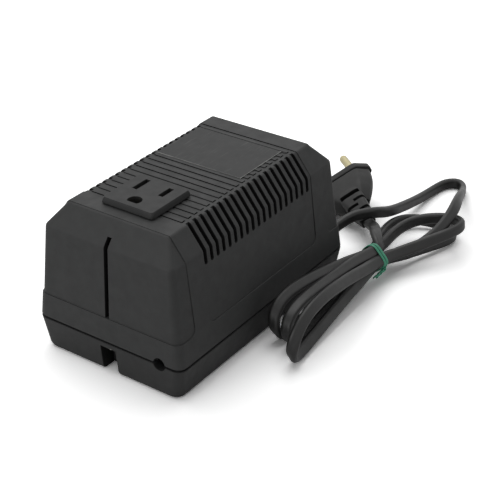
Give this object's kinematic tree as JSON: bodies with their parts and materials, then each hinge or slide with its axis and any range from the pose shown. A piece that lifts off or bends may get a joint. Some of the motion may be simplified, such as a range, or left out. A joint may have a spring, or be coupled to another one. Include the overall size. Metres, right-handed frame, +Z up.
{
  "type": "travel voltage converter",
  "caption": "Desktop travel voltage converter: vented dark grey plastic case with a grounded outlet in its roof, a flat mains flex tied into a hank and a two-pin plug.",
  "frame": {"origin": "centre of the case's underside, on the surface it stands on", "axes": "+X to the right seen from the front, +Y to the rear along the case's length, +Z up"},
  "size_m": [0.1141, 0.2253, 0.0708],
  "materials": {
    "case_plastic": "finely textured, matt",
    "tray_plastic": "finely textured, matt",
    "screw_steel": "zinc plated",
    "label_film": "printed film, satin",
    "outlet_plastic": "moulded, satin",
    "housing_plastic": "moulded",
    "contact_brass": "bare stamping",
    "lamination_steel": "varnished sheet stack",
    "former_plastic": "moulded",
    "winding_copper": "enamelled wire",
    "tape_film": "polyester tape",
    "strap_steel": "plated sheet",
    "cutout_metal": "drawn can",
    "clamp_plastic": "moulded",
    "core_insulation": "brown and blue",
    "cap_plastic": "nylon",
    "input_insulation": "red and grey",
    "output_insulation": "black and white",
    "flex_pvc": "extruded, satin",
    "tie_plastic": "plastic ribbon with a wire core",
    "plug_pvc": "moulded, satin",
    "pin_metal": "nickel plated"
  },
  "bodies": {
    "root": {"cover": "case_plastic", "base_tray": "tray_plastic", "case_screws": "screw_steel", "rating_label": "label_film", "outlet_face": "outlet_plastic", "outlet_housing": "housing_plastic", "line_contact": "contact_brass", "neutral_contact": "contact_brass", "ground_contact": "contact_brass", "core_e_stack": "lamination_steel", "core_i_stack": "lamination_steel", "coil_former": "former_plastic", "coil_winding": "winding_copper", "coil_tape": "tape_film", "core_strap": "strap_steel", "core_screws": "screw_steel", "thermal_cutout": "cutout_metal", "flex_clamp": "clamp_plastic", "flex_clamp_screws": "screw_steel", "flex_cores": "core_insulation", "crimp_caps": "cap_plastic", "input_leads": "input_insulation", "output_leads": "output_insulation", "flex_tail": "flex_pvc", "flex_hank": "flex_pvc", "flex_plug_lead": "flex_pvc", "hank_tie": "tie_plastic", "plug_body": "plug_pvc", "plug_pins": "pin_metal"}
  },
  "joints": []
}
